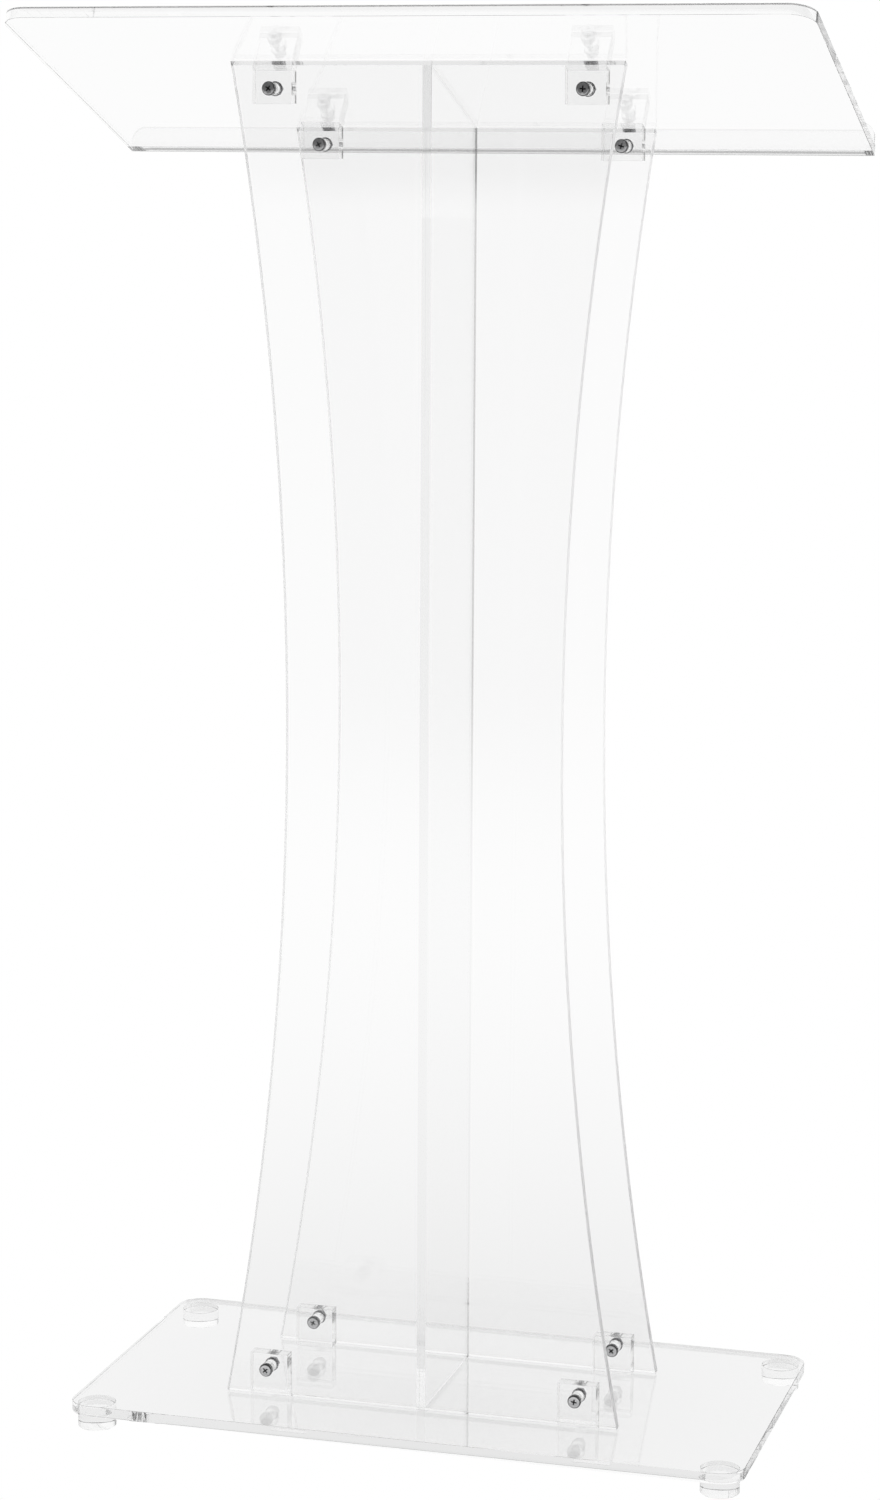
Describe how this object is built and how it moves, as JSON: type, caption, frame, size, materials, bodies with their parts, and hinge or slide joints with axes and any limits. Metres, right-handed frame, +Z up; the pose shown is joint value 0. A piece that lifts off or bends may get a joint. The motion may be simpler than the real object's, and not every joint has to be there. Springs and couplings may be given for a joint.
{
  "type": "presentation lectern",
  "caption": "Clear acrylic floor-standing lectern with a sloping reading shelf, waisted front and rear panels, centre rib and footed base plate.",
  "frame": {"origin": "middle of the overall outline, on the floor", "axes": "+Z up; -Y towards the audience, whose side carries the shelf's raised edge; +Y towards the presenter; +X to the right as seen by the audience"},
  "size_m": [0.686, 0.3352, 1.2405],
  "materials": {
    "clear_sheet": "polished clear acrylic sheet",
    "clear_block": "polished clear acrylic block",
    "clear_foot": "turned and polished clear acrylic",
    "screw_steel": "bright plated steel",
    "nut_steel": "bright plated steel"
  },
  "bodies": {
    "root": {"reading_shelf": "clear_sheet", "page_stop": "clear_sheet", "front_panel": "clear_sheet", "rear_panel": "clear_sheet", "centre_rib": "clear_sheet", "base_plate": "clear_sheet", "foot_front_left": "clear_foot", "foot_front_right": "clear_foot", "foot_rear_left": "clear_foot", "foot_rear_right": "clear_foot", "base_block_front_left": "clear_block", "base_block_front_right": "clear_block", "base_block_rear_left": "clear_block", "base_block_rear_right": "clear_block", "shelf_block_front_left": "clear_block", "shelf_block_front_right": "clear_block", "shelf_block_rear_left": "clear_block", "shelf_block_rear_right": "clear_block", "base_screw_front_left": "screw_steel", "base_screw_front_right": "screw_steel", "base_screw_rear_left": "screw_steel", "base_screw_rear_right": "screw_steel", "shelf_screw_front_left": "screw_steel", "shelf_screw_front_right": "screw_steel", "shelf_screw_rear_left": "screw_steel", "shelf_screw_rear_right": "screw_steel", "base_washer_front_left": "nut_steel", "base_washer_front_right": "nut_steel", "base_washer_rear_left": "nut_steel", "base_washer_rear_right": "nut_steel", "shelf_washer_front_left": "nut_steel", "shelf_washer_front_right": "nut_steel", "shelf_washer_rear_left": "nut_steel", "shelf_washer_rear_right": "nut_steel", "base_nut_front_left": "nut_steel", "base_nut_front_right": "nut_steel", "base_nut_rear_left": "nut_steel", "base_nut_rear_right": "nut_steel", "shelf_nut_front_left": "nut_steel", "shelf_nut_front_right": "nut_steel", "shelf_nut_rear_left": "nut_steel", "shelf_nut_rear_right": "nut_steel"}
  },
  "joints": []
}
